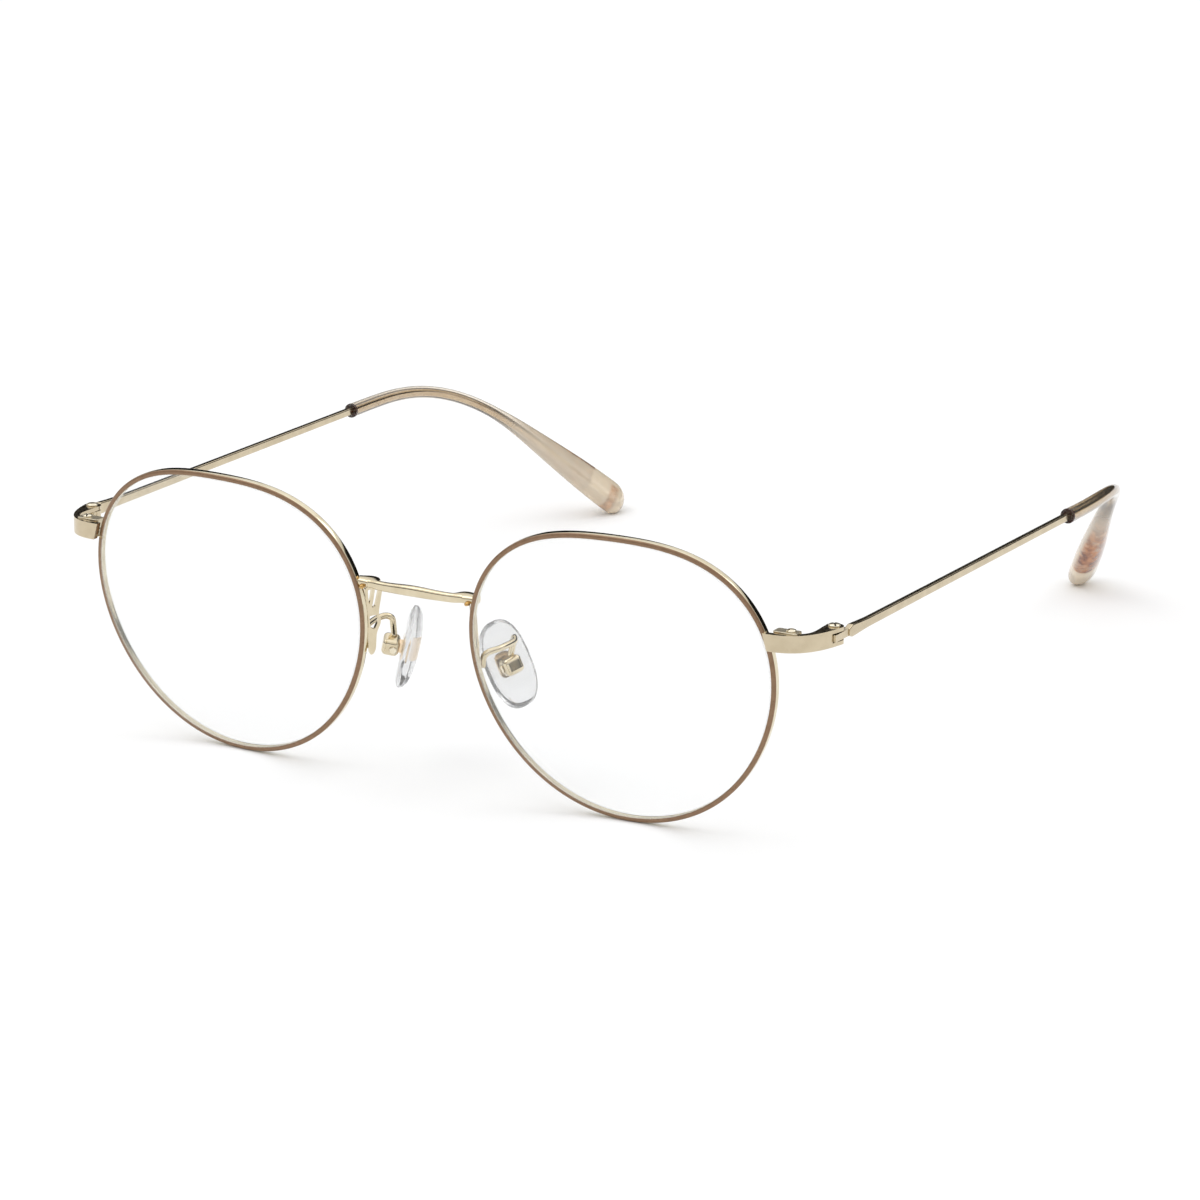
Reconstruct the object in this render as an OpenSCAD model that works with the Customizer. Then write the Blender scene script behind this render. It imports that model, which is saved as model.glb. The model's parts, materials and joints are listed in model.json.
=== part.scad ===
// Round metal eyeglasses, open and standing on the rim bottoms and the temple tips.
// +X is the wearer's left, +Y runs back along the temples, +Z is up.
// Each front piece is drawn for the wearer's left, behind the front plane of a level frame,
// then mirrored for the right, tilted to its resting angle and set on the surface.

/* [Lenses and rims] */
// Width of one lens
lens_w = 50; // [49:0.5:52]
// Gap between the two lenses
bridge_w = 20.5; // [20:0.1:21]
// Radius of the front curve of the lenses
base_r = 120; // [100:5:150]
// Angle by which each lens turns back towards the temple
wrap = 2.7; // [2:0.1:4]
// Thickness of a lens
lens_t = 1.6; // [1.2:0.1:1.8]
// Width of the rim wire seen from the front
rim_w = 0.8; // [0.7:0.05:0.9]
// Depth of the rim wire
rim_d = 1.25; // [1.2:0.05:1.4]

/* [Bridge and end pieces] */
// Height of the bridge bar at its middle
bridge_h = 1.7; // [1.3:0.1:1.8]
// Depth of the bridge bar at its middle
bridge_d = 1.3; // [1:0.1:1.5]
// Height of the end piece strap and of the hinge
strap_h = 2.64; // [2.5:0.02:2.8]
// Thickness of the end piece strap
strap_t = 1.0; // [0.9:0.05:1.1]

/* [Hinges and temples] */
// Radius of the hinge barrel
barrel_r = 1.4; // [1.35:0.05:1.45]
// Height of the tongue that turns in the slot of the hinge
tongue_h = 1.1; // [1:0.05:1.2]
// Distance from the hinge screw to the front end of the temple tip
bar_l = 78.4; // [75:0.2:79]
// Thickness of the temple bar
bar_t = 1.0; // [0.9:0.05:1.1]
// Length of the temple tip along its curve
tip_l = 69.7; // [66:0.1:72]
// Angle by which the end of the temple tip bends down
tip_drop = 39.2; // [37:0.1:42]
// Angle by which the end of the temple tip bends in towards the head
tip_in = 34.5; // [32:0.5:37]

/* [Nose pads] */
// Length of a nose pad
pad_l = 14.4; // [13:0.1:15]
// Width of a nose pad
pad_w = 7.8; // [7:0.1:8.5]
// Greatest thickness of a nose pad
pad_t = 2.8; // [2.4:0.1:3]

/* [Hidden] */

// How the whole object rests: tilt of the front, height of the lens centres, shift to centre it.
front_tilt = 5.18;
lens_height = 23.85;
depth_shift = -72;
// The hinge and the temple slope down by this angle from the square of the front.
temple_slope = 7.45;
hinge_at = [66.75, 11.8, 7.9];
// Temples spread slightly from hinge to tip.
temple_splay = 0.2;

// Lens outline: a circle, made a little wider than high, then fuller at its upper corners
// and its chin, then slightly flattened on its four sides.
eye_x = (lens_w + bridge_w) / 2;
mean_r = lens_w / 2 - 0.7;
widen = 1.15;
fuller = 0.87;
flatten = 0.24;
// The rim wire is split here, measured up from the temple side, and closed by the screw.
split_angle = 17.5;
split_gap = 0.25;
rim_steps = 80;
groove = 0.25;
rim_round = 0.14;
lens_gap = 0.03;

gold = [0.80, 0.71, 0.54];
pale_gold = [0.87, 0.80, 0.64];
enamel = [0.60, 0.48, 0.41];
clear = [0.88, 0.90, 0.92, 0.45];
lens_clear = [0.85, 0.90, 0.93, 0.25];
tip_colour = [0.86, 0.76, 0.63, 0.85];

screw_r = 0.58;
screw_play = 0.05;
slot_play = 0.05;
slot_back = 2.25;
bore_fn = 40;
tiny = 0.01;

// ---- helpers ----

function unit(v) = v / norm(v);
function blend(x) = let (c = min(max(x, 0), 1)) c * c * (3 - 2 * c);

function tangent(path, i) = unit(path[min(i + 1, len(path) - 1)] - path[max(i - 1, 0)]);

// Side vectors along a path, each one the last turned as little as possible.
function side_vectors(path, first) = [
    for (i = 0, s = square_to(first, tangent(path, 0));
         i < len(path);
         i = i + 1, s = square_to(s, tangent(path, min(i, len(path) - 1)))) s
];
function square_to(v, axis) = unit(v - (v * axis) * axis);

// One ring of points for each station of a path; sections holds 2-D points [side, up].
function rings(path, sections, first) = let (sides = side_vectors(path, first)) [
    for (i = [0 : len(path) - 1])
        let (s = sides[i], u = cross(s, tangent(path, i)))
            [for (p = sections[i]) path[i] + p.x * s + p.y * u]
];

function wall_faces(rows, cols, from = 0) = [
    for (i = [0 : rows - 2], j = [0 : cols - 1])
        let (a = from + i * cols + j, b = from + i * cols + (j + 1) % cols)
            each [[a, b, b + cols], [a, b + cols, a + cols]]
];

function flipped(faces) = [for (f = faces) [for (k = [len(f) - 1 : -1 : 0]) f[k]]];

function ring_face(cols, from) = [for (j = [0 : cols - 1]) from + j];

// A closed solid from a list of rings with as many points each.
module skin(rows) {
    n = len(rows);
    m = len(rows[0]);
    polyhedron(
        points = [for (r = rows) each r],
        faces = concat(wall_faces(n, m), [flipped([ring_face(m, 0)])[0], ring_face(m, (n - 1) * m)]),
        convexity = 6
    );
}

function oval(a, b, sides) = [for (j = [0 : sides - 1]) [a * cos(360 * j / sides), b * sin(360 * j / sides)]];

function rounded_box(a, b, c) = [
    [a, b - c], [a - c, b], [c - a, b], [-a, b - c],
    [-a, c - b], [c - a, -b], [a - c, -b], [a, c - b],
];

// Smooth path through hand-set points, n steps for each span.
function spline(p, n) = [
    for (i = [0 : len(p) - 2], k = [0 : n - 1]) spline_at(p, i, k / n),
    p[len(p) - 1],
];
function spline_at(p, i, t) = let (
    a = p[max(i - 1, 0)], b = p[i], c = p[i + 1], d = p[min(i + 2, len(p) - 1)]
) b + 0.5 * t * ((c - a) + t * ((2 * a - 5 * b + 4 * c - d) + t * (3 * (b - c) + d - a)));

function bezier(p, t) =
    pow(1 - t, 3) * p[0] + 3 * t * pow(1 - t, 2) * p[1] + 3 * t * t * (1 - t) * p[2] + pow(t, 3) * p[3];

// ---- frames ----

module place(side = 1) {
    translate([0, depth_shift, lens_height])
        rotate([front_tilt, 0, 0])
            mirror([side < 0 ? 1 : 0, 0, 0]) children();
}

// Frame of the hinge and the temple, with its origin on the hinge screw.
module hinge_frame() {
    translate(hinge_at) rotate([-temple_slope, 0, 0]) children();
}

// ---- rims and lenses ----

function outline_r(t) = mean_r + widen * cos(2 * t) + fuller * sin(3 * t) - flatten * cos(4 * t);
function outline_slope(t) = 3 * fuller * cos(3 * t) - 2 * widen * sin(2 * t) + 4 * flatten * sin(4 * t);

// Point of the outline, moved outwards by out, in the plane of the lens.
function outline_pt(t, out) = let (
    r = outline_r(t),
    d = outline_slope(t),
    run = [d * cos(t) - r * sin(t), d * sin(t) + r * cos(t)]
) [r * cos(t), r * sin(t)] + out * [run.y, -run.x] / norm(run);

// A point of the lens plane, put on the curved front and turned by the wrap angle.
function on_front(p, depth) = let (y = (p * p) / (2 * base_r) + depth) [
    eye_x + p.x * cos(wrap) - y * sin(wrap),
    p.x * sin(wrap) + y * cos(wrap),
    p.y,
];

// Section of the rim wire, [across, back from the front face], with the lens groove on its inside.
rim_section = [
    [-rim_w / 2, rim_round], [rim_round - rim_w / 2, 0],
    [rim_w / 2 - rim_round, 0], [rim_w / 2, rim_round],
    [rim_w / 2, rim_d - rim_round], [rim_w / 2 - rim_round, rim_d],
    [rim_round - rim_w / 2, rim_d], [-rim_w / 2, rim_d - rim_round],
    [-rim_w / 2, rim_d / 2 + groove], [groove - rim_w / 2, rim_d / 2], [-rim_w / 2, rim_d / 2 - groove],
];

module rim() {
    gap_angle = split_gap / mean_r * 180 / PI;
    first = split_angle + gap_angle / 2;
    step = (360 - gap_angle) / rim_steps;
    color(enamel)
        skin([
            for (i = [rim_steps : -1 : 0])
                [for (s = rim_section) on_front(outline_pt(first + i * step, s.x), s.y)]
        ]);
}

// The lens edge has a bevel that stands in the groove of the rim.
module lens() {
    edge = -rim_w / 2 - lens_gap;
    mid = rim_d / 2;
    bevel = groove - 2 * lens_gap;
    steps = 60;
    front = mid - lens_t / 2;
    back = mid + lens_t / 2;
    centre = 0.02;
    // Each row is [share of the outline, depth, how far it stands out].
    rows = [
        [centre, front, 0], [0.4, front, 0], [0.75, front, 0], [1, front, 0], [1, mid - bevel, 0],
        [1, mid, bevel], [1, mid + bevel, 0], [1, back, 0], [0.6, back, 0], [centre, back, 0],
    ];
    color(lens_clear)
        skin([
            for (r = rows)
                [for (i = [0 : steps - 1]) on_front(r[0] * outline_pt(360 * i / steps, edge + r[2]), r[1])]
        ]);
}

// ---- bridge ----

bridge_end = 10.6;
bridge_steps = 48;
bar_corner = 0.3;
neck_at = 6;
neck_in = [0.1, 0.12];
// Near its ends the bar flares backwards into a lobe, which tapers again to the rim.
flare_from = 6.6;
flare_over = 1.7;
flare_back = 0.7;
taper_from = 8.6;
taper = 0.45;
// Where the middle of the bar stands, and how far its ends go back and down from there.
bridge_middle = [0, 1.7, 8.5];
bridge_bow = [0.8, 0.4];

function bridge_flare(x) = flare_back
    * blend((abs(x) - flare_from) / flare_over)
    * (1 - taper * blend((abs(x) - taper_from) / (bridge_end - taper_from)));

// Half depth and half height of the bar at x.
function bridge_half(x) = [bridge_d, bridge_h] / 2 - neck_in * blend(abs(x) / neck_at) + [bridge_flare(x), 0];
function bridge_at(x) = bridge_middle + [
    x,
    bridge_bow[0] * blend(abs(x) / bridge_end) + bridge_flare(x),
    -bridge_bow[1] * blend(abs(x) / flare_from),
];

module bridge() {
    xs = [for (i = [0 : bridge_steps]) bridge_end * (2 * i / bridge_steps - 1)];
    path = [for (x = xs) bridge_at(x)];
    sections = [for (x = xs) let (h = bridge_half(x)) rounded_box(h[0], h[1], bar_corner)];
    color(gold) place() skin(rings(path, sections, [0, 1, 0]));
}

// ---- end pieces, closing blocks and screws ----

// Outer face of the strap in plan, from its cut end over the rim to the hinge barrel.
strap_curve = [[-7.6, -9.0], [-1.9, -9.3], [0.35, -6.1], [barrel_r, 0]];
strap_cut_x = -6.95;
strap_cut_slant = 16;
strap_steps = 14;
// The strap thickens to the barrel over the last part of its curve.
thicken_from = 0.55;
thicken_over = 0.5;
// Size of a cutter, larger than anything it cuts.
cutter = 8;

function strap_outer(t) = bezier(strap_curve, t);
function strap_run(t) = unit(bezier(strap_curve, min(t + tiny, 1)) - bezier(strap_curve, max(t - tiny, 0)));
function strap_inner(t) = let (
    d = strap_run(t),
    thick = strap_t + (2 * barrel_r - strap_t) * blend((t - thicken_from) / thicken_over)
) strap_outer(t) + thick * [-d.y, d.x];

module strap_plan() {
    polygon(concat(
        [for (i = [0 : strap_steps]) strap_outer(i / strap_steps)],
        [for (i = [strap_steps : -1 : 0]) strap_inner(i / strap_steps)]
    ));
    circle(r = barrel_r, $fn = bore_fn);
}

module end_piece() {
    slot_h = tongue_h + 2 * slot_play;
    color(gold)
        hinge_frame()
            difference() {
                translate([0, 0, -strap_h / 2]) linear_extrude(strap_h) strap_plan();
                translate([strap_cut_x, strap_curve[0].y, 0])
                    rotate([0, -strap_cut_slant, 0])
                        translate([-cutter / 2, 0, 0]) cube([cutter, cutter, cutter], center = true);
                translate([-cutter / 2, -slot_back, -slot_h / 2]) cube([cutter, cutter, slot_h]);
                cylinder(h = cutter, r = screw_r + tiny, center = true, $fn = bore_fn);
            }
}

// A slotted screw with a low domed head, its underside at z = 0 and its shank below.
module screw(head_r, head_h, shank_r, shank_l) {
    slot_w = 0.25;
    rim_share = 0.6;
    top_share = 0.75;
    difference() {
        union() {
            cylinder(h = head_h * rim_share, r = head_r, $fn = bore_fn);
            translate([0, 0, head_h * rim_share])
                cylinder(h = head_h * (1 - rim_share), r1 = head_r, r2 = head_r * top_share, $fn = bore_fn);
        }
        translate([-slot_w / 2, -cutter / 2, head_h / 2]) cube([slot_w, cutter, head_h]);
    }
    translate([0, 0, -shank_l]) cylinder(h = shank_l, r = shank_r, $fn = bore_fn);
}

hinge_head = [0.95, 0.42];
hinge_slot_turn = 35;

module hinge_screw() {
    color(pale_gold)
        hinge_frame()
            translate([0, 0, strap_h / 2])
                rotate([0, 0, hinge_slot_turn]) screw(hinge_head[0], hinge_head[1], screw_r, strap_h - 0.1);
}

// The two halves of the closing barrel, one on each end of the split rim.
block_x = [-6.35, -2.4];
block_y = [-7.6, -5.5];
block_gap = 0.15;
closing_at = [-3.75, -6.5];
closing_r = 0.5;

closing_head = [0.78, 0.4];
closing_slot_turn = -20;
block_edge = 0.05;

module block(low, high) {
    color(gold)
        hinge_frame()
            difference() {
                translate([block_x[0], block_y[0], low])
                    linear_extrude(high - low) block_plan();
                translate([closing_at.x, closing_at.y, 0])
                    cylinder(h = cutter, r = closing_r + tiny, center = true, $fn = bore_fn);
            }
}

module block_plan() {
    length = block_x[1] - block_x[0];
    width = block_y[1] - block_y[0];
    corner = 0.45;
    small_corner = 0.35;
    polygon([
        [0, 0], [length - corner / 2, 0], [length, corner], [length, width - corner],
        [length - corner, width], [small_corner, width], [0, width - small_corner],
    ]);
}

module upper_block() { block(block_gap / 2, strap_h / 2 - block_edge); }
module lower_block() { block(block_edge - strap_h / 2, -block_gap / 2); }

module closing_screw() {
    color(pale_gold)
        hinge_frame()
            translate([closing_at.x, closing_at.y, strap_h / 2 - block_edge])
                rotate([0, 0, closing_slot_turn])
                    screw(closing_head[0], closing_head[1], closing_r, strap_h - 0.3);
}

// ---- temples ----

// Inner face of the bar, from the hinge screw, and where the tongue meets the bar.
bar_in = 0.5;
shoulder = 2.0;
// The tongue has a square nose that meets the strap when the temple is open.
nose_l = 2.15;
nose_in = 0.2;

// Half height of the bar at distances from the hinge screw.
bar_heights = [[shoulder, tongue_h / 2], [3.1, 0.96], [4.2, 0.92], [8, 0.72], [30, 0.65], [60, 0.62]];

module tongue() {
    edge = barrel_r - 0.05;
    translate([0, 0, -tongue_h / 2])
        linear_extrude(tongue_h) {
            circle(r = edge, $fn = bore_fn);
            translate([nose_in, -nose_l]) square([edge - nose_in, nose_l]);
            translate([bar_in - 0.1, 0]) square([edge - bar_in + 0.1, shoulder + 0.6]);
        }
}

module bar() {
    sides = concat(bar_heights, [[bar_l - 0.5, 0.6], [bar_l + 0.3, 0.5]]);
    outline = concat(
        [for (s = sides) [s[0], s[1]]],
        [for (i = [len(sides) - 1 : -1 : 0]) [sides[i][0], -sides[i][1]]]
    );
    translate([bar_in, 0, 0])
        rotate([0, 0, -temple_splay])
            rotate([90, 0, 90]) linear_extrude(bar_t) polygon(outline);
}

// Centre line of the tip: level at first, then bending down and in together.
bend_start = [8, 2.5];
bend_length = [40, 40];
tip_steps = 44;
tip_sides = 16;
core_r = 0.6;
core_l = 56;
core_play = 0.03;
core_steps = 24;

function tip_dir(s) = let (
    down = tip_drop * blend((s - bend_start[0]) / bend_length[0]),
    in = tip_in * blend((s - bend_start[1]) / bend_length[1]) - temple_splay
) [-sin(in) * cos(down), cos(in) * cos(down), -sin(down)];

tip_from = [bar_in + bar_t / 2 + bar_l * sin(temple_splay), bar_l * cos(temple_splay), 0];

function tip_path(length, steps) = let (ds = length / steps) [
    for (i = 0, p = tip_from; i <= steps; p = p + ds * tip_dir((i + 0.5) * ds), i = i + 1) p
];

// Half thickness and half height of the tip at s: a round rod that thins a little, then
// flares into a paddle with a rounded end, and turns so that the paddle lies against the head.
tip_r = 1.22;
tip_thin = 0.17;
tip_end_l = 3.4;
paddle = [2.1, 3.3];
paddle_turn = 36;

function tip_end(s) = sqrt(max(1 - pow(max(s - tip_l + tip_end_l, 0) / tip_end_l, 2.4), 0.0004));
function tip_half(s) = let (
    share = s / tip_l,
    rod = tip_r - tip_thin * blend(share / 0.4)
) tip_end(s) * [
    rod + (paddle.x - rod) * blend((share - 0.46) / 0.42),
    rod + (paddle.y - rod) * blend((share - 0.5) / 0.46),
];
function tip_turn(s) = paddle_turn * blend((s / tip_l - 0.3) / 0.5);
function turned(p, a) = [p.x * cos(a) + p.y * sin(a), p.y * cos(a) - p.x * sin(a)];

module temple() {
    core_path = tip_path(core_l, core_steps);
    color(gold)
        hinge_frame() {
            difference() {
                union() {
                    tongue();
                    bar();
                }
                cylinder(h = cutter, r = screw_r + screw_play, center = true, $fn = bore_fn);
            }
            skin(rings(core_path, [for (p = core_path) oval(core_r, core_r, tip_sides)], [1, 0, 0]));
        }
}

module temple_tip() {
    outer_path = tip_path(tip_l, tip_steps);
    outer = rings(
        outer_path,
        [for (i = [0 : tip_steps])
            let (s = tip_l * i / tip_steps, h = tip_half(s))
                [for (p = oval(h[0], h[1], tip_sides)) turned(p, tip_turn(s))]],
        [1, 0, 0]
    );
    hole_path = tip_path(core_l + 0.2, core_steps);
    hole_r = core_r + core_play;
    hole = rings(hole_path, [for (p = hole_path) oval(hole_r, hole_r, tip_sides)], [1, 0, 0]);
    n = len(outer);
    m = tip_sides;
    first = n * m;
    color(tip_colour)
        hinge_frame()
            polyhedron(
                points = concat([for (r = outer) each r], [for (r = hole) each r]),
                faces = concat(
                    wall_faces(n, m),
                    [ring_face(m, (n - 1) * m)],
                    flipped(wall_faces(len(hole), m, first)),
                    flipped([ring_face(m, first + (len(hole) - 1) * m)]),
                    [for (j = [0 : m - 1])
                        let (k = (j + 1) % m)
                            each [[j, first + k, k], [j, first + j, first + k]]]
                ),
                convexity = 8
            );
}

// ---- nose pads ----

pad_at = [10.6, 10.9, -5.7];
pad_splay = 31;
pad_flare = 16;
pad_rake = 12;
box_size = [2.7, 3.1, 2.8];
box_front = -0.95;
box_wall = 0.35;
pad_screw_r = 0.42;
pad_head = [0.62, 0.25];
lug_t = 1.2;
lug_h = 1.7;
lug_r = 0.82;
lug_play = 0.08;
// Back face of the pad, and the shift of its middle along and up from the pad screw.
pad_face = -1.3;
pad_shift = [0.7, -0.3];
pad_play = 0.02;
plate_t = 0.58;
plate_w = 2.6;
plate_l = 4;
plate_x = pad_face - 1.08;

// Frame of a pad with its origin on the pad screw: +X away from the nose, +Y along the screw.
module pad_frame() {
    translate(pad_at)
        rotate([0, 0, -pad_splay])
            rotate([pad_rake, -pad_flare, 0]) children();
}

// The pad is a stack of ovals, widest near its back, flat behind and domed towards the nose.
module nose_pad() {
    widest = 0.9;
    steps = 6;
    dome = 88;
    // Each row is [share of the outline, height above the back].
    back = [
        for (k = [steps : -1 : 1])
            let (a = dome * k / steps) [pow(cos(a), 0.5), widest * (1 - sin(a))]
    ];
    front = [
        for (k = [0 : steps])
            let (a = dome * k / steps) [pow(cos(a), 0.7), widest + (pad_t - widest) * sin(a)]
    ];
    color(clear)
        pad_frame()
            difference() {
                skin([
                    for (r = concat(back, front))
                        [for (p = oval(r[0] * pad_w / 2, r[0] * pad_l / 2, 36))
                            [pad_face - r[1], pad_shift.x + p.x, pad_shift.y + p.y]]
                ]);
                translate([plate_x - pad_play, -plate_w / 2 - pad_play, -plate_l / 2 - pad_play])
                    cube([plate_t, plate_w, plate_l] + 2 * pad_play * [1, 1, 1]);
                translate([plate_x, -lug_t / 2 - pad_play, -lug_h / 2 - pad_play])
                    cube([cutter, lug_t + 2 * pad_play, lug_h + 2 * pad_play]);
            }
}

// Metal plate moulded into the pad, with a lug that the pad screw passes through.
module pad_insert() {
    color(pale_gold)
        pad_frame()
            difference() {
                union() {
                    translate([plate_x, -plate_w / 2, -plate_l / 2]) cube([plate_t, plate_w, plate_l]);
                    translate([plate_x, -lug_t / 2, -lug_h / 2]) cube([-plate_x, lug_t, lug_h]);
                    rotate([90, 0, 0]) cylinder(h = lug_t, r = lug_r, center = true, $fn = bore_fn);
                }
                rotate([90, 0, 0])
                    cylinder(h = cutter, r = pad_screw_r + screw_play, center = true, $fn = bore_fn);
            }
}

// The box is open towards the pad, and the pad screw crosses it.
module pad_box() {
    pocket = [box_front + box_size.x - box_wall, lug_t + 2 * lug_play, box_size.z - 2 * box_wall + 0.1];
    color(pale_gold)
        pad_frame()
            difference() {
                translate([box_front, box_size.y / 2, 0])
                    rotate([90, 0, 0])
                        linear_extrude(box_size.y) box_side();
                translate([pocket.x - cutter, -pocket.y / 2, -pocket.z / 2])
                    cube([cutter, pocket.y, pocket.z]);
                rotate([90, 0, 0])
                    cylinder(h = cutter, r = pad_screw_r + tiny, center = true, $fn = bore_fn);
            }
}

module box_side() {
    a = box_size.x;
    b = box_size.z / 2;
    corner = 0.8;
    nose = 0.3;
    polygon([
        [0, nose - b], [nose, -b], [a - corner, -b], [a, corner - b],
        [a, b - corner], [a - corner, b], [nose, b], [0, b - nose],
    ]);
}

module pad_screw() {
    color(pale_gold)
        pad_frame()
            translate([0, -box_size.y / 2, 0])
                rotate([90, 0, 0]) screw(pad_head[0], pad_head[1], pad_screw_r, box_size.y);
}

// Wire from the bracket: up, back, a curl, then down into the pad box.
arm_r = 0.5;
arm_points = [
    [10.2, 3.55, -3.2], [10.4, 3.65, -1.7], [11.0, 4.2, -0.85], [11.9, 6, -0.8], [12.3, 8.2, -0.9],
    [12.3, 9.8, -1], [11.6, 11, -1], [11, 11.7, -1.6], [10.8, 11.6, -2.7], [10.5, 11.2, -4.4],
];

module pad_arm() {
    path = spline(arm_points, 3);
    color(pale_gold) skin(rings(path, [for (p = path) oval(arm_r, arm_r, 10)], [1, 0, 0]));
}

// Stamped plate with two openings, along the back of the rim beside the nose.
bracket_t = 0.7;
bracket_at = [9.9, 2.9, 0];
bracket_turn = 130;

module bracket_plan() {
    difference() {
        polygon([
            [0.1, 7.2], [2.6, 7.4], [3.0, 6.9], [2.6, 5.2], [2.1, 3.2], [2.0, 2.2],
            [2.3, 1.6], [2.2, 0.9], [1.4, -0.6], [1.1, -3.2], [0.6, -4], [0, -4],
        ]);
        polygon([[0.6, 6.6], [2.2, 6.7], [2.1, 6], [1.4, 3.8], [0.8, 3.8], [0.6, 5]]);
        polygon([[0.7, 2.2], [1.5, 2.1], [1.7, 1.5], [0.8, 0.3]]);
    }
}

module pad_bracket() {
    color(pale_gold)
        translate(bracket_at)
            rotate([0, 0, bracket_turn])
                rotate([90, 0, 0]) linear_extrude(bracket_t, center = true) bracket_plan();
}

// ---- nodes ----

module right_rim() { place(-1) rim(); }
module right_lens() { place(-1) lens(); }
module right_end_piece() { place(-1) end_piece(); }
module right_upper_block() { place(-1) upper_block(); }
module right_lower_block() { place(-1) lower_block(); }
module right_closing_screw() { place(-1) closing_screw(); }
module right_hinge_screw() { place(-1) hinge_screw(); }
module right_temple() { place(-1) temple(); }
module right_temple_tip() { place(-1) temple_tip(); }
module right_pad_bracket() { place(-1) pad_bracket(); }
module right_pad_arm() { place(-1) pad_arm(); }
module right_pad_box() { place(-1) pad_box(); }
module right_pad_screw() { place(-1) pad_screw(); }
module right_pad_insert() { place(-1) pad_insert(); }
module right_nose_pad() { place(-1) nose_pad(); }
module left_rim() { place() rim(); }
module left_lens() { place() lens(); }
module left_end_piece() { place() end_piece(); }
module left_upper_block() { place() upper_block(); }
module left_lower_block() { place() lower_block(); }
module left_closing_screw() { place() closing_screw(); }
module left_hinge_screw() { place() hinge_screw(); }
module left_temple() { place() temple(); }
module left_temple_tip() { place() temple_tip(); }
module left_pad_bracket() { place() pad_bracket(); }
module left_pad_arm() { place() pad_arm(); }
module left_pad_box() { place() pad_box(); }
module left_pad_screw() { place() pad_screw(); }
module left_pad_insert() { place() pad_insert(); }
module left_nose_pad() { place() nose_pad(); }

bridge();
right_rim();
right_lens();
right_end_piece();
right_upper_block();
right_lower_block();
right_closing_screw();
right_hinge_screw();
right_temple();
right_temple_tip();
right_pad_bracket();
right_pad_arm();
right_pad_box();
right_pad_screw();
right_pad_insert();
right_nose_pad();
left_rim();
left_lens();
left_end_piece();
left_upper_block();
left_lower_block();
left_closing_screw();
left_hinge_screw();
left_temple();
left_temple_tip();
left_pad_bracket();
left_pad_arm();
left_pad_box();
left_pad_screw();
left_pad_insert();
left_nose_pad();
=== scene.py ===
import json
import math

import bpy
import bmesh
import numpy as np
from mathutils import Matrix, Vector


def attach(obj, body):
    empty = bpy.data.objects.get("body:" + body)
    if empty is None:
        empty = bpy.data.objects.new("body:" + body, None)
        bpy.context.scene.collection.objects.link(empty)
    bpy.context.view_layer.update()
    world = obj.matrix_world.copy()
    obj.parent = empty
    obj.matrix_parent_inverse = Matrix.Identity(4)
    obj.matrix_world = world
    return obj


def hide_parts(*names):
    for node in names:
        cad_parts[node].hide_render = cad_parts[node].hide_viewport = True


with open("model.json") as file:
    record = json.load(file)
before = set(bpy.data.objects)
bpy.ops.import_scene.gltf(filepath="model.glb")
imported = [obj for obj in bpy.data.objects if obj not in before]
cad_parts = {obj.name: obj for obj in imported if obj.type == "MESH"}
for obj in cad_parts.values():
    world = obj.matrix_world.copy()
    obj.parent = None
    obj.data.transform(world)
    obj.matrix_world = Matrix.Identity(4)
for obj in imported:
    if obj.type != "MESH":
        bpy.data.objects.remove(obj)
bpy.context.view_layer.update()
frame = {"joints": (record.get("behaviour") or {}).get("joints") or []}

# Lengths are in millimetres in the frames below, and become metres in the row frame.
MM = 0.001

# ---- the frames of the object -------------------------------------------------------------
# The front frame is level and square to the lenses. The hinge frame and the pad frame stand
# in it. Each piece is drawn for the wearer's left and mirrored for the right.

FRONT_TILT = 5.18
TEMPLE_SLOPE = 7.45
HINGE_AT = np.array([66.75, 11.8, 7.9])
PAD_AT = np.array([10.6, 10.9, -5.7])
PAD_SPLAY = 31
PAD_FLARE = 16
PAD_RAKE = 12


def turn(axis, degrees):
    """Rotation about x, y or z, as a 3 by 3 array."""
    return np.array(Matrix.Rotation(math.radians(degrees), 3, axis))


def joint(name):
    return next(j for j in frame["joints"] if j["name"] == name)


TILT = turn("X", FRONT_TILT)
HINGE_TURN = turn("X", -TEMPLE_SLOPE)
PAD_TURN = turn("Z", -PAD_SPLAY) @ turn("Y", -PAD_FLARE) @ turn("X", PAD_RAKE)
SHIFT = np.array(joint("left_temple_hinge")["pos_m"]) / MM - TILT @ HINGE_AT


def in_front(points):
    return points


def in_hinge(points):
    return points @ HINGE_TURN.T + HINGE_AT


def in_pad(points):
    return points @ PAD_TURN.T + PAD_AT


def to_row(points, place, side):
    """Points of a local frame, in the row frame, in metres."""
    level = place(np.asarray(points, float)) * [side, 1, 1]
    return (level @ TILT.T + SHIFT) * MM


# ---- curves and surfaces ------------------------------------------------------------------


def blend(x):
    x = np.clip(x, 0, 1)
    return x * x * (3 - 2 * x)


def unit(v):
    return v / np.linalg.norm(v, axis=-1, keepdims=True)


def lerp_table(x, table):
    """Value at x of a line through [x, value] pairs."""
    pairs = np.array(table, float)
    return np.interp(x, pairs[:, 0], pairs[:, 1])


def oval(a, b, count, power=2.0):
    """A closed oval; a power above 2 makes it squarer."""
    t = np.linspace(0, 2 * math.pi, count, endpoint=False)
    c, s = (np.sign(v) * np.abs(v) ** (2 / power) for v in (np.cos(t), np.sin(t)))
    return np.stack([a * c, b * s], -1)


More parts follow.
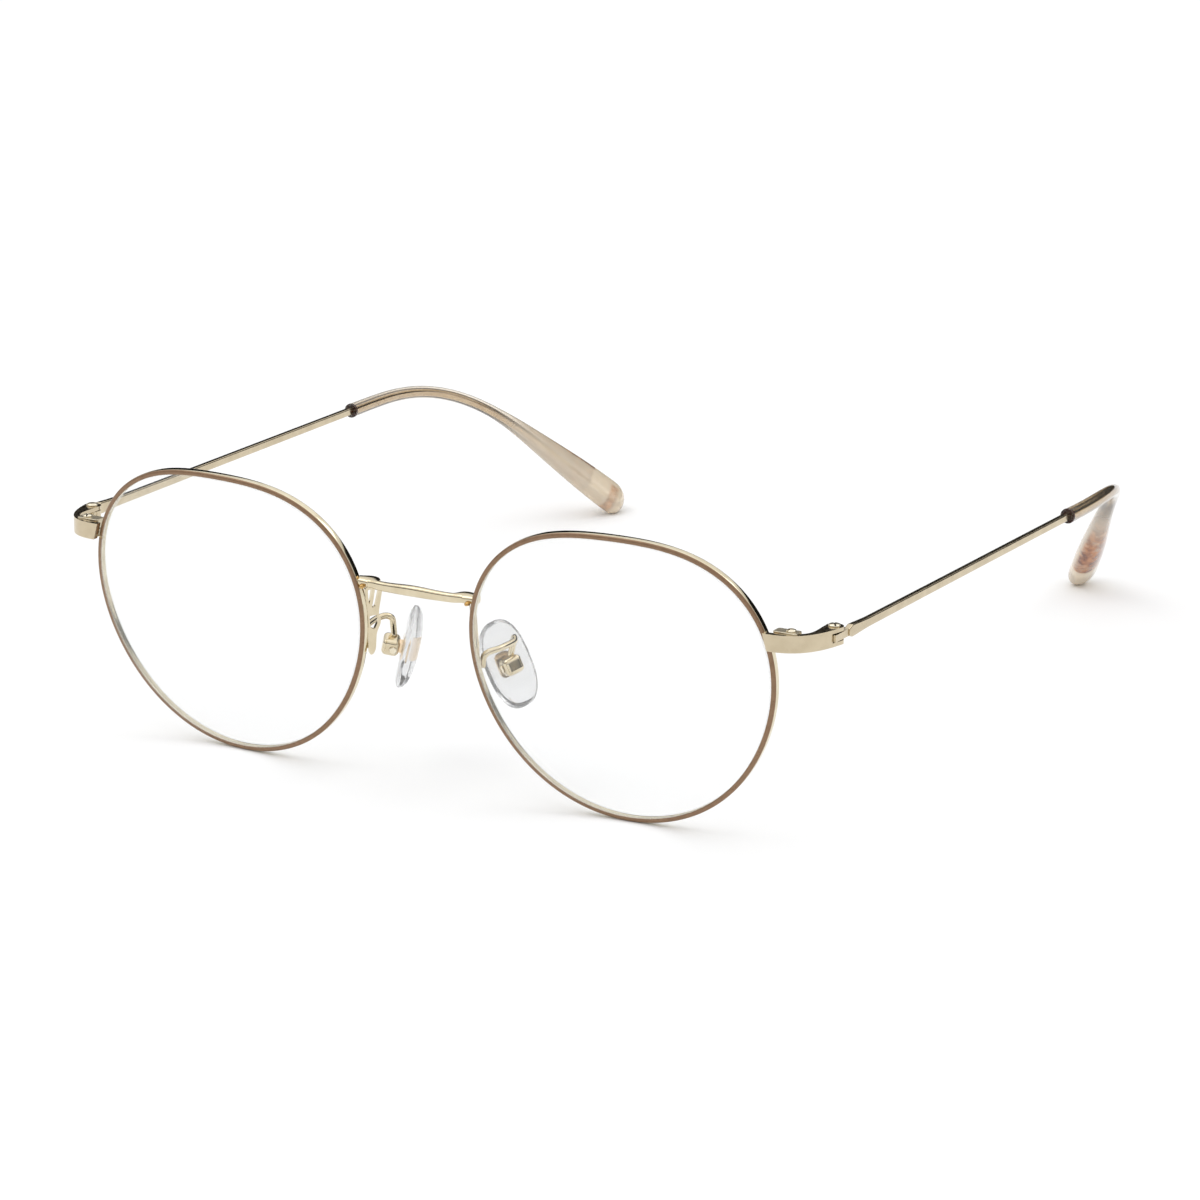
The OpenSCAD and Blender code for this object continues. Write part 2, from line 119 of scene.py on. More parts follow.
def round_box(a, b, radius, steps=4):
    """A closed rectangle of half sizes a and b with rounded corners."""
    points = []
    for x, y, first in ((a, b, 0), (-a, b, 90), (-a, -b, 180), (a, -b, 270)):
        for k in range(steps + 1):
            t = math.radians(first + 90 * k / steps)
            points.append([
                x - math.copysign(radius, x) + radius * math.cos(t),
                y - math.copysign(radius, y) + radius * math.sin(t),
            ])
    return np.array(points)


def bezier(p, t):
    p = np.asarray(p, float)
    t = np.asarray(t, float)[:, None]
    return (1 - t) ** 3 * p[0] + 3 * t * (1 - t) ** 2 * p[1] + 3 * t * t * (1 - t) * p[2] + t ** 3 * p[3]


def spline(points, steps):
    """Smooth path through given points, with that many steps for each span."""
    p = np.asarray(points, float)
    path = []
    for i in range(len(p) - 1):
        a, b, c, d = p[max(i - 1, 0)], p[i], p[i + 1], p[min(i + 2, len(p) - 1)]
        for k in range(steps):
            t = k / steps
            square, cube = 2 * a - 5 * b + 4 * c - d, 3 * (b - c) + d - a
            path.append(b + 0.5 * t * ((c - a) + t * (square + t * cube)))
    path.append(p[-1])
    return np.array(path)


def walls(rows, cols):
    return [
        (i * cols + j, i * cols + (j + 1) % cols, (i + 1) * cols + (j + 1) % cols, (i + 1) * cols + j)
        for i in range(rows - 1) for j in range(cols)
    ]


def skin(rings, material=0):
    """A closed shell over a list of rings with as many points each."""
    rings = np.asarray(rings, float)
    n, m = rings.shape[:2]
    faces = walls(n, m) + [tuple(range(m)), tuple(range((n - 1) * m, n * m))]
    return rings.reshape(-1, 3), faces, material


def sweep(path, sections, first, material=0):
    """A shell along a path. Its side vector starts near first and turns as little as possible."""
    path = np.asarray(path, float)
    run = unit(np.gradient(path, axis=0))
    side = np.asarray(first, float)
    rings = []
    for point, along, section in zip(path, run, sections):
        side = unit(side - (side @ along) * along)
        up = np.cross(side, along)
        rings.append(point + np.outer(section[:, 0], side) + np.outer(section[:, 1], up))
    return skin(rings, material)


def lathe(profile, count=32, material=0):
    """A shell turned about z from [radius, height] points; the ends close on the axis."""
    t = np.linspace(0, 2 * math.pi, count, endpoint=False)
    rings = [
        np.stack([r * np.cos(t), r * np.sin(t), np.full(count, z)], -1)
        for r, z in ((max(r, 0.005), z) for r, z in profile)
    ]
    return skin(rings, material)


def slab(outline, low, high, material=0):
    """A flat plate: a 2-D outline from one height to another."""
    plan = np.asarray(outline, float)
    n = len(plan)
    points = np.concatenate([np.c_[plan, np.full(n, low)], np.c_[plan, np.full(n, high)]])
    faces = [(i, (i + 1) % n, n + (i + 1) % n, n + i) for i in range(n)]
    return points, faces + [tuple(range(n)), tuple(range(n, 2 * n))], material


def brick(low, high, material=0):
    (a, b, c), (d, e, f) = low, high
    return slab([[a, b], [d, b], [d, e], [a, e]], c, f, material)


def moved(shell, rotation=None, shift=(0, 0, 0)):
    points, faces, material = shell
    if rotation is not None:
        points = points @ np.asarray(rotation).T
    return points + np.asarray(shift, float), faces, material


def build(name, shells, place=in_front, side=1, materials=()):
    """A mesh object in the row frame from shells in a local frame."""
    points, faces, slots = [], [], []
    for shell_points, shell_faces, material in shells:
        base = len(points)
        points.extend(to_row(shell_points, place, side).tolist())
        faces.extend(tuple(base + i for i in face) for face in shell_faces)
        slots.extend(material if hasattr(material, "__len__") else [material] * len(shell_faces))
    mesh = bpy.data.meshes.new(name)
    mesh.from_pydata(points, [], faces)
    for m in materials:
        mesh.materials.append(m)
    mesh.polygons.foreach_set("material_index", slots)
    loose = bmesh.new()
    loose.from_mesh(mesh)
    bmesh.ops.recalc_face_normals(loose, faces=loose.faces)
    loose.to_mesh(mesh)
    loose.free()
    piece = bpy.data.objects.new(name, mesh)
    bpy.context.scene.collection.objects.link(piece)
    return piece


def apply_modifiers(piece):
    graph = bpy.context.evaluated_depsgraph_get()
    mesh = bpy.data.meshes.new_from_object(piece.evaluated_get(graph))
    piece.modifiers.clear()
    piece.data = mesh


def combine(piece, tools, operation="DIFFERENCE"):
    """Cuts the tools out of a piece, or joins them to it, and removes them."""
    for tool in tools:
        step = piece.modifiers.new("combine", "BOOLEAN")
        step.operation = operation
        step.solver = "EXACT"
        step.object = tool
    apply_modifiers(piece)
    for tool in tools:
        bpy.data.objects.remove(tool)


def ease(piece, width, segments=3, limit=32):
    """Rounds the hard edges of a piece."""
    step = piece.modifiers.new("ease", "BEVEL")
    step.width = width * MM
    step.segments = segments
    step.limit_method = "ANGLE"
    step.angle_limit = math.radians(limit)
    step.harden_normals = True
    piece.data.polygons.foreach_set("use_smooth", [True] * len(piece.data.polygons))
    apply_modifiers(piece)


def soften(piece, limit=35):
    """Smooth shading, with edges sharper than the limit kept hard."""
    piece.data.polygons.foreach_set("use_smooth", [True] * len(piece.data.polygons))
    piece.data.set_sharp_from_angle(angle=math.radians(limit))


def dress(piece, node, body):
    """The piece stands for a CAD node and rides on its body."""
    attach(piece, body)
    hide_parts(node)


# ---- materials ----------------------------------------------------------------------------


class Nodes:
    """A short way to write a node tree."""

    def __init__(self, name):
        self.material = bpy.data.materials.new(name)
        self.material.use_nodes = True
        self.tree = self.material.node_tree
        self.shader = self.tree.nodes["Principled BSDF"]
        self.place = self.add("ShaderNodeTexCoord").outputs["Object"]

    def add(self, kind, **values):
        node = self.tree.nodes.new(kind)
        for key, value in values.items():
            setattr(node, key, value)
        return node

    def link(self, source, target):
        self.tree.links.new(source, target)

    def set(self, **values):
        for key, value in values.items():
            self.shader.inputs[key.replace("_", " ")].default_value = value

    def scaled(self, scale):
        node = self.add("ShaderNodeMapping")
        node.inputs["Scale"].default_value = scale
        self.link(self.place, node.inputs["Vector"])
        return node.outputs["Vector"]

    def noise(self, scale, detail=3.0, roughness=0.55, stretch=None):
        node = self.add("ShaderNodeTexNoise")
        node.inputs["Scale"].default_value = scale
        node.inputs["Detail"].default_value = detail
        node.inputs["Roughness"].default_value = roughness
        self.link(self.scaled(stretch) if stretch else self.place, node.inputs["Vector"])
        return node.outputs["Fac"]

    def remap(self, source, low, high, to_low, to_high):
        node = self.add("ShaderNodeMapRange")
        for key, value in zip(("From Min", "From Max", "To Min", "To Max"), (low, high, to_low, to_high)):
            node.inputs[key].default_value = value
        self.link(source, node.inputs["Value"])
        return node.outputs["Result"]

    def mix(self, factor, a, b):
        node = self.add("ShaderNodeMix", data_type="RGBA")
        self.link(factor, node.inputs["Factor"])
        for key, value in (("A", a), ("B", b)):
            socket = next(s for s in node.inputs if s.name == key and s.type == "RGBA")
            if hasattr(value, "links"):
                self.link(value, socket)
            else:
                socket.default_value = (*value, 1)
        return next(s for s in node.outputs if s.type == "RGBA")

    def math(self, operation, a, b=0.0):
        node = self.add("ShaderNodeMath", operation=operation)
        for socket, value in zip(node.inputs, (a, b)):
            if hasattr(value, "links"):
                self.link(value, socket)
            else:
                socket.default_value = value
        return node.outputs[0]

    def bump(self, height, strength, distance):
        node = self.add("ShaderNodeBump")
        node.inputs["Strength"].default_value = strength
        node.inputs["Distance"].default_value = distance
        self.link(height, node.inputs["Height"])
        self.link(node.outputs["Normal"], self.shader.inputs["Normal"])


def metal(name, colour, shade, rough, grain=(1, 1, 1), bump=0.06):
    """Plated metal: soft colour drift, a brushed grain in its gloss, and a fine skin."""
    n = Nodes(name)
    n.set(Metallic=1.0, IOR=1.45)
    drift = n.noise(420, 2)
    n.link(n.mix(n.remap(drift, 0.35, 0.65, 0, 1), colour, shade), n.shader.inputs["Base Color"])
    brush = n.noise(5200, 3, 0.6, grain)
    n.link(n.remap(brush, 0.3, 0.7, rough[0], rough[1]), n.shader.inputs["Roughness"])
    n.bump(brush, bump, 0.00004)
    return n.material


def enamel(name, colour, shade):
    """Taupe enamel: fine flow in the colour, an orange-peel skin and a clear gloss."""
    n = Nodes(name)
    n.set(Metallic=0.45, Coat_Weight=0.2, Coat_Roughness=0.12, Specular_IOR_Level=0.4)
    n.link(n.mix(n.remap(n.noise(900, 4), 0.35, 0.65, 0, 1), colour, shade), n.shader.inputs["Base Color"])
    peel = n.noise(3600, 2, 0.5)
    n.link(n.remap(peel, 0.3, 0.7, 0.26, 0.38), n.shader.inputs["Roughness"])
    n.bump(peel, 0.12, 0.00003)
    return n.material


def clear(name, tint, shade, ior, rough, peel_scale, bump, share=1.0):
    """Clear glass or silicone with a trace of colour and an almost smooth skin."""
    n = Nodes(name)
    n.set(Transmission_Weight=share, IOR=ior)
    n.link(n.mix(n.remap(n.noise(160, 2), 0.35, 0.65, 0, 1), tint, shade), n.shader.inputs["Base Color"])
    peel = n.noise(peel_scale, 2, 0.5)
    n.link(n.remap(peel, 0.3, 0.7, rough[0], rough[1]), n.shader.inputs["Roughness"])
    n.bump(peel, bump, 0.00002)
    return n.material


def film(name, tint, shade, alpha, rough):
    """A coated lens surface, almost all of it see-through."""
    n = Nodes(name)
    n.set(Alpha=alpha, IOR=1.5, Specular_IOR_Level=0.6)
    n.link(n.mix(n.remap(n.noise(140, 2), 0.35, 0.65, 0, 1), tint, shade), n.shader.inputs["Base Color"])
    n.link(n.remap(n.noise(700, 2), 0.3, 0.7, rough, rough + 0.03), n.shader.inputs["Roughness"])
    return n.material


def acetate(name):
    """Translucent beige acetate, cloudy inside, denser and mottled brown where the marks say so."""
    n = Nodes(name)
    n.set(IOR=1.49, Coat_Weight=0.6, Coat_Roughness=0.03)
    dense = n.add("ShaderNodeAttribute", attribute_name="dense").outputs["Fac"]
    mottle = n.add("ShaderNodeAttribute", attribute_name="mottle").outputs["Fac"]
    cloud = n.remap(n.noise(210, 4, 0.6), 0.35, 0.65, 0, 1)
    rod = n.mix(cloud, (0.96, 0.90, 0.80), (0.92, 0.84, 0.72))
    beige = n.mix(dense, rod, n.mix(cloud, (0.97, 0.85, 0.67), (0.95, 0.81, 0.62)))
    spots = n.remap(n.noise(360, 5, 0.7, (1, 0.7, 1.3)), 0.34, 0.52, 0.6, 1)
    share = n.math("MULTIPLY", mottle, spots)
    brown = n.mix(n.remap(n.noise(520, 3), 0.4, 0.6, 0, 1), (0.50, 0.20, 0.07), (0.18, 0.055, 0.025))
    n.link(n.mix(share, beige, brown), n.shader.inputs["Base Color"])
    through = n.math("MULTIPLY", n.remap(dense, 0, 1, 0.95, 0.42), n.remap(share, 0, 1, 1, 0.12))
    n.link(through, n.shader.inputs["Transmission Weight"])
    n.link(n.remap(n.noise(900, 2), 0.3, 0.7, 0.02, 0.07), n.shader.inputs["Roughness"])
    n.bump(n.noise(500, 2), 0.03, 0.00003)
    return n.material


def plastic(name, colour, shade, rough, coat):
    n = Nodes(name)
    n.set(IOR=1.49, Coat_Weight=coat, Coat_Roughness=0.08)
    n.link(n.mix(n.remap(n.noise(800, 3), 0.35, 0.65, 0, 1), colour, shade), n.shader.inputs["Base Color"])
    n.link(n.remap(n.noise(2600, 2), 0.3, 0.7, rough[0], rough[1]), n.shader.inputs["Roughness"])
    return n.material


GOLD = metal("satin_gold", (0.64, 0.545, 0.39), (0.57, 0.48, 0.335), (0.14, 0.24), (1, 0.06, 1), 0.10)
GOLD_SIDE = metal("rim_gold", (0.76, 0.69, 0.52), (0.69, 0.61, 0.44), (0.06, 0.13), (1, 1, 0.2), 0.04)
BRIGHT = metal("bright_gold", (0.72, 0.63, 0.46), (0.65, 0.56, 0.39), (0.06, 0.13), bump=0.03)
BLOCK = metal("block_gold", (0.70, 0.63, 0.49), (0.62, 0.55, 0.41), (0.30, 0.42), bump=0.08)
SCREW = metal("screw_metal", (0.86, 0.79, 0.63), (0.78, 0.70, 0.54), (0.12, 0.22), bump=0.05)
BRAZE = metal("braze", (0.66, 0.42, 0.16), (0.56, 0.34, 0.12), (0.08, 0.18), bump=0.2)
CORE = metal("tip_core", (0.62, 0.50, 0.35), (0.56, 0.44, 0.30), (0.10, 0.14), bump=0.01)
INSERT = metal("insert_gold", (0.87, 0.70, 0.50), (0.80, 0.62, 0.42), (0.14, 0.24))
ENAMEL = enamel("taupe_enamel", (0.285, 0.172, 0.098), (0.245, 0.145, 0.080))
ACETATE = acetate("beige_acetate")
COLLAR = plastic("brown_collar", (0.055, 0.014, 0.009), (0.035, 0.009, 0.006), (0.06, 0.12), 0.0)
LENS = film("lens_clear", (0.94, 0.96, 0.97), (0.90, 0.93, 0.95), 0.05, 0.02)
# The lens edge's pale blue-green tint and stronger alpha are a painted reflection of the coat and the bevel.
LENS_EDGE_PAINTED_REFLECTION = film("lens_edge_painted_reflection", (0.93, 0.97, 0.96), (0.96, 0.98, 0.99), 0.22, 0.12)
SILICONE = clear(
    "clear_silicone", (0.915, 0.92, 0.925), (0.89, 0.895, 0.90), 1.38, (0.04, 0.10), 2400, 0.05, 0.85,
)


# ---- rims and lenses ----------------------------------------------------------------------

EYE_X = 35.25
LENS_W = 50
MEAN_R = LENS_W / 2 - 0.7
WIDEN = 1.15
FULLER = 0.87
FLATTEN = 0.24
BASE_R = 120
WRAP = math.radians(2.7)
RIM_W = 0.8
RIM_D = 1.25
RIM_ROUND_FRONT = 0.26
RIM_ROUND_BACK = 0.2
GROOVE = 0.25
LENS_T = 1.6
LENS_GAP = 0.03
SPLIT_ANGLE = 17.5
SPLIT_GAP = 0.25
RIM_STEPS = 320


def outline(t, out=0.0):
    """Point of the lens outline at angle t in radians, moved outwards, in the lens plane."""
    r = MEAN_R + WIDEN * np.cos(2 * t) + FULLER * np.sin(3 * t) - FLATTEN * np.cos(4 * t)
    d = 3 * FULLER * np.cos(3 * t) - 2 * WIDEN * np.sin(2 * t) + 4 * FLATTEN * np.sin(4 * t)
    run = unit(np.stack([d * np.cos(t) - r * np.sin(t), d * np.sin(t) + r * np.cos(t)], -1))
    return np.stack([r * np.cos(t), r * np.sin(t)], -1) + out * np.stack([run[..., 1], -run[..., 0]], -1)


def on_front(p, depth):
    """A point of the lens plane put on the curved front, behind it by depth."""
    y = (p ** 2).sum(-1) / (2 * BASE_R) + depth
    x = p[..., 0]
    return np.stack([
        EYE_X + x * math.cos(WRAP) - y * math.sin(WRAP),
        x * math.sin(WRAP) + y * math.cos(WRAP),
        p[..., 1],
    ], -1)


def arc(x, y, r, first, last, steps=4):
    angles = np.radians(np.linspace(first, last, steps + 1))
    return np.stack([x + r * np.cos(angles), y + r * np.sin(angles)], -1)


def rim_section():
    """Section of the rim wire, [across, back], and how many of its sides are enamelled."""
    w, f, b, mid = RIM_W / 2, RIM_ROUND_FRONT, RIM_ROUND_BACK, RIM_D / 2
    front = np.concatenate([arc(f - w, f, f, 180, 270), arc(w - f, f, f, 270, 360)])
    back = np.concatenate([arc(w - b, RIM_D - b, b, 0, 90), arc(b - w, RIM_D - b, b, 90, 180)])
    slot = [[-w, mid + GROOVE], [GROOVE - w, mid], [-w, mid - GROOVE]]
    return np.concatenate([front, back, slot]), len(front) - 1


def rim(side, name):
    section, painted = rim_section()
    gap = SPLIT_GAP / MEAN_R
    first = math.radians(SPLIT_ANGLE) + gap / 2
    angles = first + (2 * math.pi - gap) * np.arange(RIM_STEPS + 1) / RIM_STEPS
    rings = [[on_front(outline(t, s[0]), s[1]) for s in section] for t in angles]
    points, faces, _ = skin(rings)
    count = len(section)
    tone = [0 if 1 <= j < painted - 1 else 1 for j in range(count)] * RIM_STEPS + [1, 1]
    piece = build(name + "_rim_wire", [(points, faces, tone)], in_front, side, [ENAMEL, GOLD_SIDE])
    soften(piece, 50)
    dress(piece, name + "_rim", "front")


def lens(side, name):
    """A curved disc, with a bevel on its edge that stands in the groove of the rim; the bevel's pale tint is
    a painted reflection.
    """
    edge = -RIM_W / 2 - LENS_GAP
    mid = RIM_D / 2
    bevel = GROOVE - 2 * LENS_GAP
    chamfer = 0.06
    angles = np.linspace(0, 2 * math.pi, 200, endpoint=False)
    shares = [0.02, 0.15, 0.3, 0.45, 0.6, 0.72, 0.84, 0.93]
    # Each row: share of the outline, depth, outward step, and material; material 1 on the bevel carries the
    # painted reflection.
    rows = [[s, mid - LENS_T / 2, 0, 0] for s in shares]
    rows += [
        [1, mid - LENS_T / 2, -chamfer, 1], [1, mid - LENS_T / 2 + chamfer, 0, 1], [1, mid - bevel, 0, 1],
        [1, mid, bevel, 1], [1, mid + bevel, 0, 1], [1, mid + LENS_T / 2 - chamfer, 0, 1],
        [1, mid + LENS_T / 2, -chamfer, 0],
    ]
    rows += [[s, mid + LENS_T / 2, 0, 0] for s in reversed(shares)]
    rings = [on_front(share * outline(angles, edge + out), depth) for share, depth, out, _ in rows]
    points, faces, _ = skin(rings)
    tone = [row[3] for row in rows[:-1] for _ in angles] + [0, 0]
    piece = build(name + "_lens_disc", [(points, faces, tone)], in_front, side, [LENS, LENS_EDGE_PAINTED_REFLECTION])
    soften(piece, 25)
    dress(piece, name + "_lens", "front")


# ---- bridge -------------------------------------------------------------------------------

BRIDGE_END = 10.6
BRIDGE_MIDDLE = np.array([0, 1.7, 8.5])
BRIDGE_BOW = [0.8, 0.28]
BRIDGE_SIZE = np.array([1.3, 1.7])
NECK_AT = 6
NECK_IN = np.array([0.1, 0.12])
FLARE_FROM = 6.6
FLARE_OVER = 1.7
FLARE_BACK = 0.7
TAPER_FROM = 8.6
TAPER = 0.45
BAR_SQUARENESS = 2.8


def bridge_flare(x):
    """How far the bar's lobe near each rim stands back."""
    taper = 1 - TAPER * blend((abs(x) - TAPER_FROM) / (BRIDGE_END - TAPER_FROM))
    return FLARE_BACK * blend((abs(x) - FLARE_FROM) / FLARE_OVER) * taper


def bridge_at(x):
    return BRIDGE_MIDDLE + np.array([
        x,
        BRIDGE_BOW[0] * blend(abs(x) / BRIDGE_END) + bridge_flare(x),
        -BRIDGE_BOW[1] * blend(abs(x) / FLARE_FROM),
    ])


def bridge():
    xs = np.linspace(-BRIDGE_END, BRIDGE_END, 121)
    sections = []
    for x in xs:
        half = BRIDGE_SIZE / 2 - NECK_IN * blend(abs(x) / NECK_AT) + np.array([bridge_flare(x), 0])
        sections.append(oval(half[0], half[1], 48, BAR_SQUARENESS))
    bar = sweep([bridge_at(x) for x in xs], sections, [0, 1, 0])
    piece = build("bridge_bar", [bar], materials=[BRIGHT])
    soften(piece, 40)
    dress(piece, "bridge", "front")


def bead(centre, radii, turn_y=0):
    """A small flattened drop of braze."""
    profile = [[math.cos(a), math.sin(a)] for a in np.radians(np.linspace(-89, 89, 15))]
    points, faces, material = lathe(profile, 24)
    wobble = 1 + 0.06 * np.sin(5 * points[:, :1] + 3 * points[:, 2:])
    return moved((points * wobble * radii, faces, material), turn("Y", turn_y), centre)


def bridge_braze(side, name):
    shells = [
        bead([9.45, 1.8, 7.85], [0.45, 0.5, 0.36], -10),
        bead([10.45, 2.3, 8.95], [0.2, 0.4, 0.24], 30),
    ]
    piece = build(name + "_bridge_braze", shells, in_front, side, [BRAZE])
    soften(piece, 60)
    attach(piece, "front")


# ---- end pieces, closing blocks and screws --------------------------------------------------

STRAP_CURVE = [[-7.6, -9.0], [-1.9, -9.3], [0.35, -6.1], [1.4, 0]]
STRAP_H = 2.64
STRAP_T = 1.0
STRAP_CUT_X = -6.95
STRAP_CUT_SLANT = 16
STRAP_STEPS = 48
THICKEN_FROM = 0.55
THICKEN_OVER = 0.5
BARREL_R = 1.4
TONGUE_H = 1.1
SLOT_H = TONGUE_H + 0.3
SLOT_BACK = 2.25
SCREW_R = 0.58
HINGE_HEAD = [0.95, 0.42]
HINGE_SLOT_TURN = 35
BLOCK_X = [-6.35, -2.4]
BLOCK_Y = [-7.6, -5.5]
BLOCK_EDGE = 0.05
BLOCK_GAP = 0.15
BLOCK_RISE = 0.25
CLOSING_AT = [-3.75, -6.5]
CLOSING_R = 0.5
CLOSING_HEAD = [0.78, 0.4]
CLOSING_SLOT_TURN = -20
CUTTER = 8


def strap_plan():
    """Outer face of the strap, the round of the hinge barrel, then the inner face."""
    t = np.linspace(0, 1, STRAP_STEPS + 1)
    outer = bezier(STRAP_CURVE, t)
    run = unit(np.gradient(outer, axis=0))
    thick = STRAP_T + (2 * BARREL_R - STRAP_T) * blend((t - THICKEN_FROM) / THICKEN_OVER)
    inner = outer + thick[:, None] * np.stack([-run[:, 1], run[:, 0]], -1)
    return np.concatenate([outer[:-1], arc(0, 0, BARREL_R, 0, 180, 28), inner[::-1][1:]])


def pin(r, low, high, at=(0, 0), count=40):
    return slab(oval(r, r, count) + np.array(at), low, high)


def end_piece(side, name):
    piece = build(
        name + "_end_strap", [slab(strap_plan(), -STRAP_H / 2, STRAP_H / 2)], in_hinge, side, [GOLD],
    )
    half = CUTTER / 2
    tools = [
        moved(brick([-CUTTER, -half, -half], [0, half, half]), turn("Y", -STRAP_CUT_SLANT),
              [STRAP_CUT_X, STRAP_CURVE[0][1], 0]),
        brick([-half, -SLOT_BACK, -SLOT_H / 2], [half, half, SLOT_H / 2]),
        pin(SCREW_R + 0.01, -half, half),
    ]
    combine(piece, [build("tool", [tool], in_hinge, side) for tool in tools])
    ease(piece, 0.13, 3)
    dress(piece, name + "_end_piece", "front")


def screw(name, node, body, place, side, at, head, shank_r, shank_l, slot_turn, rotation=None):
    """A slotted screw with a domed head. Its head stands on z = 0 before it is turned and moved."""
    r, h = head
    slot_w = 0.25
    rim_h = 0.3 * h
    dome = [
        [r * math.cos(a) ** 0.8, rim_h + (h - rim_h) * math.sin(a)]
        for a in np.radians(np.linspace(0, 88, 10))
    ]
    profile = [
        [0, -shank_l], [shank_r - 0.08, -shank_l], [shank_r, 0.08 - shank_l], [shank_r, 0],
        [r - 0.05, 0], [r, 0.05],
    ] + dome
    spin = turn("Z", slot_turn)
    rotation = np.eye(3) if rotation is None else rotation
    piece = build(name, [moved(lathe(profile, 40), rotation @ spin, at)], place, side, [SCREW])
    notch = brick([-slot_w / 2, -2, h * 0.45], [slot_w / 2, 2, 2])
    combine(piece, [build("tool", [moved(notch, rotation @ spin, at)], place, side)])
    ease(piece, 0.025, 2, 40)
    dress(piece, node, body)


def block_plan():
    length, width = BLOCK_X[1] - BLOCK_X[0], BLOCK_Y[1] - BLOCK_Y[0]
    plan = round_box(length / 2, width / 2, 0.42, 6)
    return plan + [(BLOCK_X[0] + BLOCK_X[1]) / 2, (BLOCK_Y[0] + BLOCK_Y[1]) / 2]


def closing_block(side, name, level, low, high):
    piece = build(f"{name}_{level}_closing_block", [slab(block_plan(), low, high)], in_hinge, side, [BLOCK])
    combine(piece, [build("tool", [pin(CLOSING_R + 0.01, -CUTTER, CUTTER, CLOSING_AT)], in_hinge, side)])
    ease(piece, 0.09, 3)
    dress(piece, f"{name}_{level}_block", "front")


def closing_joint(side, name):
    top = STRAP_H / 2 - BLOCK_EDGE
    closing_block(side, name, "upper", BLOCK_GAP / 2, top + BLOCK_RISE)
    closing_block(side, name, "lower", -top, -BLOCK_GAP / 2)
    screw(name + "_closing_screw_turned", name + "_closing_screw", "front", in_hinge, side,
          [*CLOSING_AT, top + BLOCK_RISE], CLOSING_HEAD, CLOSING_R,
          STRAP_H + BLOCK_RISE - 0.3, CLOSING_SLOT_TURN)
    shells = [bead([-5.9, -7.75, 1.0], [0.45, 0.26, 0.22]), bead([-2.9, -7.5, 1.0], [0.38, 0.3, 0.2])]
    piece = build(name + "_closing_braze", shells, in_hinge, side, [BRAZE])
    soften(piece, 60)
    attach(piece, "front")


# ---- temples ------------------------------------------------------------------------------

BAR_IN = 0.5
BAR_T = 1.0
BAR_L = 78.4
BAR_ROUND = 0.22
SHOULDER = 2.0
NOSE_L = 2.15
NOSE_IN = 0.2
TEMPLE_SPLAY = 0.2
BAR_HEIGHTS = [
    [SHOULDER, TONGUE_H / 2], [3.1, 0.96], [4.2, 0.92], [8, 0.72], [30, 0.65], [60, 0.62], [BAR_L - 0.5, 0.6],
    [BAR_L + 0.3, 0.5],
]
TIP_L = 69.7
TIP_DROP = 38.9
TIP_IN = 34.5
BEND_START = [8, 2.5]
BEND_LENGTH = 40
CORE_R = 0.42
CORE_L = 56
TIP_R = 1.22
TIP_THIN = 0.17
TIP_END_L = 3.4
TIP_END_POWER = 2.4
PADDLE = [2.1, 3.3]
PADDLE_TURN = 36
COLLAR_L = 0.42
COLLAR_GROW = [-0.06, 0.01, 0.03, 0.02, -0.02]

# Distances along the tip, and the direction its mottle faces on each side.
DENSE_FROM = 34
DENSE_OVER = 16
MOTTLE_FROM = 40
MOTTLE_OVER = 14
MOTTLE_TO = 61.5
MOTTLE_SLANT = 1.2
MOTTLE_EDGE = 0.6
MOTTLE_FADE = 0.4
STREAK = 0.65
STREAK_FROM = 64.3
STREAK_TO = 66.3
STREAK_SOFT = 1.0
MOTTLE_SIDES = {1: unit(np.array([0.75, -0.2, -0.6])), -1: unit(np.array([-0.9, 0.4, 0.4]))}


def temple(side, name):
    edge = BARREL_R - 0.05
    plan = np.concatenate([
        [[edge, -NOSE_L], [edge, SHOULDER + 0.6], [BAR_IN - 0.1, SHOULDER + 0.6], [BAR_IN - 0.1, 1.28]],
        arc(0, 0, edge, 74, 270, 24),
        [[NOSE_IN, -NOSE_L]],
    ])
    piece = build(name + "_temple_bar", [slab(plan, -TONGUE_H / 2, TONGUE_H / 2)], in_hinge, side, [GOLD])
    stations = np.concatenate([
        np.linspace(SHOULDER, 5, 25),
        np.linspace(5.4, BAR_L - 0.6, 60),
        np.linspace(BAR_L - 0.5, BAR_L + 0.3, 5),
    ])
    heights = lerp_table(stations, BAR_HEIGHTS)
    heights[1:-1] = (heights[:-2] + 2 * heights[1:-1] + heights[2:]) / 4
    lean = math.tan(math.radians(TEMPLE_SPLAY))
    rings = []
    for y, h in zip(stations, heights):
        loop = round_box(BAR_T / 2, h, BAR_ROUND, 5)
        across = BAR_IN + BAR_T / 2 + y * lean + loop[:, 0]
        rings.append(np.stack([across, np.full(len(loop), y), loop[:, 1]], -1))
    combine(piece, [build("tool", [skin(rings)], in_hinge, side, [GOLD])], "UNION")
    combine(piece, [build("tool", [pin(SCREW_R + 0.05, -CUTTER, CUTTER)], in_hinge, side)])
    ease(piece, 0.08, 2, 40)
    dress(piece, name + "_temple", name + "_temple")
    core = tip_path(CORE_L, 90)
    wire = sweep(core, [oval(CORE_R, CORE_R, 20)] * len(core), [1, 0, 0])
    piece = build(name + "_tip_core", [wire], in_hinge, side, [CORE])
    soften(piece, 60)
    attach(piece, name + "_temple")


